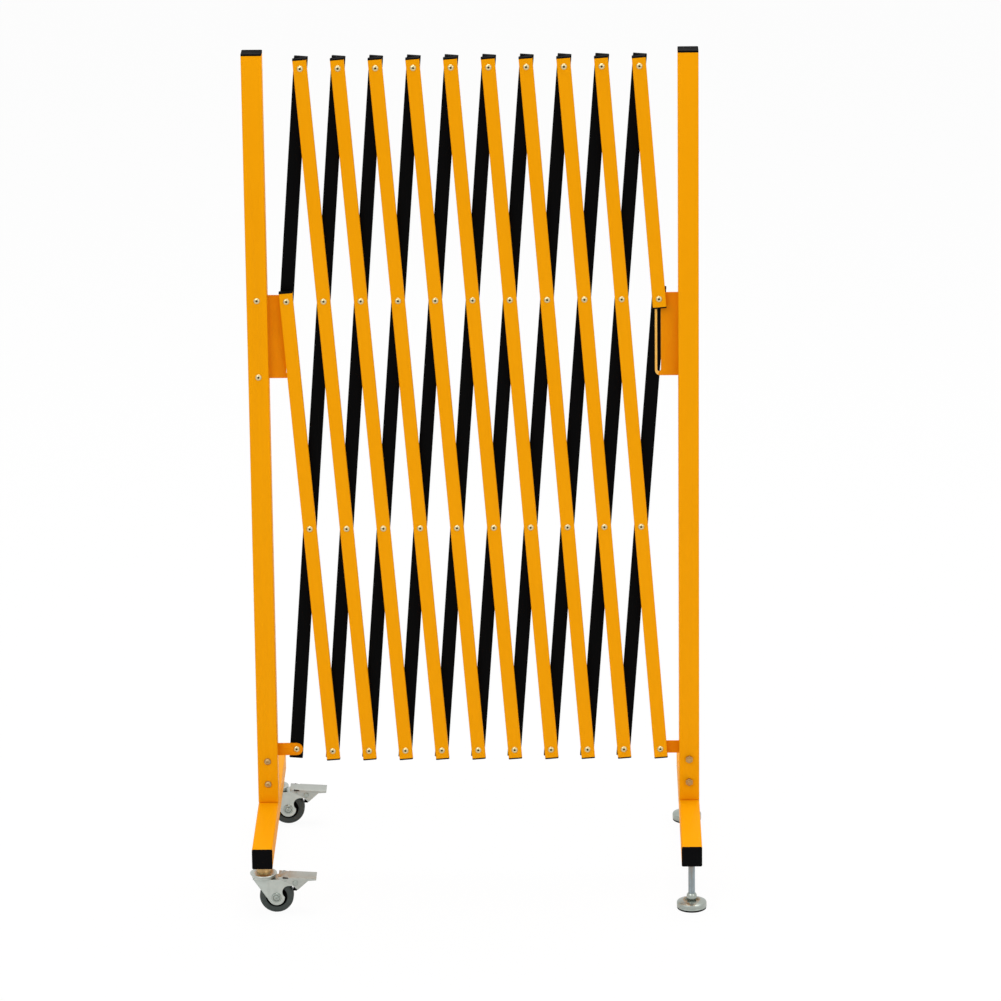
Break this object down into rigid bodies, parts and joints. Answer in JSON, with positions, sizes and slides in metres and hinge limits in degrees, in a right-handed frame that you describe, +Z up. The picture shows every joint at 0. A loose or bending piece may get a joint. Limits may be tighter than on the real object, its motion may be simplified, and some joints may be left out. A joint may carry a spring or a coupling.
{
  "type": "expandable safety barrier",
  "caption": "Portable expanding barrier: two square posts on H-shaped feet, joined by a riveted scissor lattice of flat bars, with braked casters and levelling feet.",
  "frame": {"origin": "on the floor, at the middle of the closed barrier's footprint", "axes": "+X from the caster post to the levelling post, +Y to the rear, where the black bars are, +Z up"},
  "size_m": [0.672, 0.434, 1.2526],
  "materials": {
    "yellow_paint": "satin",
    "black_paint": "satin",
    "black_plastic": "satin",
    "zinc_plated_steel": "satin",
    "grey_rubber": "matte"
  },
  "bodies": {
    "left_post": {"left_post": "yellow_paint", "left_brackets": "yellow_paint", "left_plugs": "black_plastic", "left_bolts": "zinc_plated_steel", "left_rivets": "zinc_plated_steel", "left_foot": "yellow_paint", "caster_stems": "zinc_plated_steel"},
    "right_post": {"right_post": "yellow_paint", "right_brackets": "yellow_paint", "right_plugs": "black_plastic", "right_bolts": "zinc_plated_steel", "right_rivets": "zinc_plated_steel", "right_foot": "yellow_paint"},
    "front_caster": {"front_caster_fork": "zinc_plated_steel", "front_caster_pins": "zinc_plated_steel"},
    "front_wheel": {"front_caster_hub": "black_plastic", "front_caster_tyre": "grey_rubber"},
    "front_pedal": {"front_brake_pedal": "zinc_plated_steel"},
    "front_levelling_foot": {"front_levelling_stud": "zinc_plated_steel", "front_levelling_pad": "zinc_plated_steel"},
    "rear_caster": {"rear_caster_fork": "zinc_plated_steel", "rear_caster_pins": "zinc_plated_steel"},
    "rear_wheel": {"rear_caster_hub": "black_plastic", "rear_caster_tyre": "grey_rubber"},
    "rear_pedal": {"rear_brake_pedal": "zinc_plated_steel"},
    "rear_levelling_foot": {"rear_levelling_stud": "zinc_plated_steel", "rear_levelling_pad": "zinc_plated_steel"},
    "front_bar_01": {"front_bar_01": "yellow_paint", "bar_rivets_01": "zinc_plated_steel"},
    "rear_bar_01": {"rear_bar_01": "black_paint"},
    "front_bar_02": {"front_bar_02": "yellow_paint", "bar_rivets_02": "zinc_plated_steel"},
    "rear_bar_02": {"rear_bar_02": "black_paint"},
    "front_bar_03": {"front_bar_03": "yellow_paint", "bar_rivets_03": "zinc_plated_steel"},
    "rear_bar_03": {"rear_bar_03": "black_paint"},
    "front_bar_04": {"front_bar_04": "yellow_paint", "bar_rivets_04": "zinc_plated_steel"},
    "rear_bar_04": {"rear_bar_04": "black_paint"},
    "front_bar_05": {"front_bar_05": "yellow_paint", "bar_rivets_05": "zinc_plated_steel"},
    "rear_bar_05": {"rear_bar_05": "black_paint"},
    "front_bar_06": {"front_bar_06": "yellow_paint", "bar_rivets_06": "zinc_plated_steel"},
    "rear_bar_06": {"rear_bar_06": "black_paint"},
    "front_bar_07": {"front_bar_07": "yellow_paint", "bar_rivets_07": "zinc_plated_steel"},
    "rear_bar_07": {"rear_bar_07": "black_paint"},
    "front_bar_08": {"front_bar_08": "yellow_paint", "bar_rivets_08": "zinc_plated_steel"},
    "rear_bar_08": {"rear_bar_08": "black_paint"},
    "front_bar_09": {"front_bar_09": "yellow_paint", "bar_rivets_09": "zinc_plated_steel"},
    "rear_bar_09": {"rear_bar_09": "black_paint"},
    "front_bar_10": {"front_bar_10": "yellow_paint", "bar_rivets_10": "zinc_plated_steel"},
    "rear_bar_10": {"rear_bar_10": "black_paint"},
    "front_bar_11": {"front_bar_11": "yellow_paint", "bar_rivets_11": "zinc_plated_steel"},
    "rear_bar_11": {"rear_bar_11": "black_paint"}
  },
  "joints": [
    {"name": "lattice_opening", "type": "hinge", "parent": "left_post", "child": "rear_bar_02", "pos_m": [-0.273, 0, 0.18555], "axis": [0, 1, 0], "range_deg": [0, 28]},
    {"name": "front_bar_03_pivot", "type": "hinge", "parent": "rear_bar_02", "child": "front_bar_03", "pos_m": [-0.1914, 0, 1.22937], "axis": [0, 1, 0], "range_deg": [-56, 0]},
    {"name": "rear_bar_05_pivot", "type": "hinge", "parent": "front_bar_03", "child": "rear_bar_05", "pos_m": [-0.1098, 0, 0.18555], "axis": [0, 1, 0], "range_deg": [0, 56]},
    {"name": "front_bar_06_pivot", "type": "hinge", "parent": "rear_bar_05", "child": "front_bar_06", "pos_m": [-0.0282, 0, 1.22937], "axis": [0, 1, 0], "range_deg": [-56, 0]},
    {"name": "rear_bar_08_pivot", "type": "hinge", "parent": "front_bar_06", "child": "rear_bar_08", "pos_m": [0.0534, 0, 0.18555], "axis": [0, 1, 0], "range_deg": [0, 56]},
    {"name": "front_bar_09_pivot", "type": "hinge", "parent": "rear_bar_08", "child": "front_bar_09", "pos_m": [0.135, 0, 1.22937], "axis": [0, 1, 0], "range_deg": [-56, 0]},
    {"name": "rear_bar_11_pivot", "type": "hinge", "parent": "front_bar_09", "child": "rear_bar_11", "pos_m": [0.2166, 0, 0.18555], "axis": [0, 1, 0], "range_deg": [0, 56]},
    {"name": "front_bar_10_pivot", "type": "hinge", "parent": "rear_bar_11", "child": "front_bar_10", "pos_m": [0.2438, 0, 0.53349], "axis": [0, 1, 0], "range_deg": [-56, 0]},
    {"name": "right_post_pivot", "type": "hinge", "parent": "front_bar_10", "child": "right_post", "pos_m": [0.271, 0, 0.18555], "axis": [0, 1, 0], "range_deg": [0, 28]},
    {"name": "front_bar_02_pivot", "type": "hinge", "parent": "rear_bar_02", "child": "front_bar_02", "pos_m": [-0.2186, 0, 0.88143], "axis": [0, 1, 0], "range_deg": [-56, 0]},
    {"name": "front_bar_01_pivot", "type": "hinge", "parent": "rear_bar_02", "child": "front_bar_01", "pos_m": [-0.2458, 0, 0.53349], "axis": [0, 1, 0], "range_deg": [-56, 0]},
    {"name": "rear_bar_01_pivot", "type": "hinge", "parent": "front_bar_02", "child": "rear_bar_01", "pos_m": [-0.2458, 0, 1.22937], "axis": [0, 1, 0], "range_deg": [0, 56]},
    {"name": "rear_bar_03_pivot", "type": "hinge", "parent": "front_bar_03", "child": "rear_bar_03", "pos_m": [-0.1642, 0, 0.88143], "axis": [0, 1, 0], "range_deg": [0, 56]},
    {"name": "rear_bar_04_pivot", "type": "hinge", "parent": "front_bar_03", "child": "rear_bar_04", "pos_m": [-0.137, 0, 0.53349], "axis": [0, 1, 0], "range_deg": [0, 56]},
    {"name": "front_bar_04_pivot", "type": "hinge", "parent": "rear_bar_05", "child": "front_bar_04", "pos_m": [-0.0826, 0, 0.53349], "axis": [0, 1, 0], "range_deg": [-56, 0]},
    {"name": "front_bar_05_pivot", "type": "hinge", "parent": "rear_bar_05", "child": "front_bar_05", "pos_m": [-0.0554, 0, 0.88143], "axis": [0, 1, 0], "range_deg": [-56, 0]},
    {"name": "rear_bar_06_pivot", "type": "hinge", "parent": "front_bar_06", "child": "rear_bar_06", "pos_m": [-0.001, 0, 0.88143], "axis": [0, 1, 0], "range_deg": [0, 56]},
    {"name": "rear_bar_07_pivot", "type": "hinge", "parent": "front_bar_06", "child": "rear_bar_07", "pos_m": [0.0262, 0, 0.53349], "axis": [0, 1, 0], "range_deg": [0, 56]},
    {"name": "front_bar_07_pivot", "type": "hinge", "parent": "rear_bar_08", "child": "front_bar_07", "pos_m": [0.0806, 0, 0.53349], "axis": [0, 1, 0], "range_deg": [-56, 0]},
    {"name": "front_bar_08_pivot", "type": "hinge", "parent": "rear_bar_08", "child": "front_bar_08", "pos_m": [0.1078, 0, 0.88143], "axis": [0, 1, 0], "range_deg": [-56, 0]},
    {"name": "rear_bar_09_pivot", "type": "hinge", "parent": "front_bar_09", "child": "rear_bar_09", "pos_m": [0.1622, 0, 0.88143], "axis": [0, 1, 0], "range_deg": [0, 56]},
    {"name": "rear_bar_10_pivot", "type": "hinge", "parent": "front_bar_09", "child": "rear_bar_10", "pos_m": [0.1894, 0, 0.53349], "axis": [0, 1, 0], "range_deg": [0, 56]},
    {"name": "front_bar_11_pivot", "type": "hinge", "parent": "rear_bar_11", "child": "front_bar_11", "pos_m": [0.271, 0, 0.88143], "axis": [0, 1, 0], "range_deg": [-56, 0]},
    {"name": "front_caster_swivel", "type": "hinge", "parent": "left_post", "child": "front_caster", "pos_m": [-0.316, -0.188, 0.06], "axis": [0, 0, 1], "continuous": true},
    {"name": "front_wheel_roll", "type": "hinge", "parent": "front_caster", "child": "front_wheel", "pos_m": [-0.297, -0.188, 0.025], "axis": [0, 1, 0], "continuous": true},
    {"name": "front_brake", "type": "hinge", "parent": "front_caster", "child": "front_pedal", "pos_m": [-0.269, -0.188, 0.0485], "axis": [0, 1, 0], "range_deg": [0, 15]},
    {"name": "front_foot_height", "type": "slide", "parent": "right_post", "child": "front_levelling_foot", "axis": [0, 0, 1], "range_m": [-0.005, 0.0135]},
    {"name": "rear_caster_swivel", "type": "hinge", "parent": "left_post", "child": "rear_caster", "pos_m": [-0.316, 0.188, 0.06], "axis": [0, 0, 1], "continuous": true},
    {"name": "rear_wheel_roll", "type": "hinge", "parent": "rear_caster", "child": "rear_wheel", "pos_m": [-0.297, 0.188, 0.025], "axis": [0, 1, 0], "continuous": true},
    {"name": "rear_brake", "type": "hinge", "parent": "rear_caster", "child": "rear_pedal", "pos_m": [-0.269, 0.188, 0.0485], "axis": [0, 1, 0], "range_deg": [0, 15]},
    {"name": "rear_foot_height", "type": "slide", "parent": "right_post", "child": "rear_levelling_foot", "axis": [0, 0, 1], "range_m": [-0.005, 0.0135]}
  ],
  "couplings": [
    {"joint": "front_bar_03_pivot", "follows": "lattice_opening", "ratio": -2},
    {"joint": "rear_bar_05_pivot", "follows": "lattice_opening", "ratio": 2},
    {"joint": "front_bar_06_pivot", "follows": "lattice_opening", "ratio": -2},
    {"joint": "rear_bar_08_pivot", "follows": "lattice_opening", "ratio": 2},
    {"joint": "front_bar_09_pivot", "follows": "lattice_opening", "ratio": -2},
    {"joint": "rear_bar_11_pivot", "follows": "lattice_opening", "ratio": 2},
    {"joint": "front_bar_10_pivot", "follows": "lattice_opening", "ratio": -2},
    {"joint": "right_post_pivot", "follows": "lattice_opening", "ratio": 1},
    {"joint": "front_bar_02_pivot", "follows": "lattice_opening", "ratio": -2},
    {"joint": "front_bar_01_pivot", "follows": "lattice_opening", "ratio": -2},
    {"joint": "rear_bar_01_pivot", "follows": "lattice_opening", "ratio": 2},
    {"joint": "rear_bar_03_pivot", "follows": "lattice_opening", "ratio": 2},
    {"joint": "rear_bar_04_pivot", "follows": "lattice_opening", "ratio": 2},
    {"joint": "front_bar_04_pivot", "follows": "lattice_opening", "ratio": -2},
    {"joint": "front_bar_05_pivot", "follows": "lattice_opening", "ratio": -2},
    {"joint": "rear_bar_06_pivot", "follows": "lattice_opening", "ratio": 2},
    {"joint": "rear_bar_07_pivot", "follows": "lattice_opening", "ratio": 2},
    {"joint": "front_bar_07_pivot", "follows": "lattice_opening", "ratio": -2},
    {"joint": "front_bar_08_pivot", "follows": "lattice_opening", "ratio": -2},
    {"joint": "rear_bar_09_pivot", "follows": "lattice_opening", "ratio": 2},
    {"joint": "rear_bar_10_pivot", "follows": "lattice_opening", "ratio": 2},
    {"joint": "front_bar_11_pivot", "follows": "lattice_opening", "ratio": -2}
  ]
}
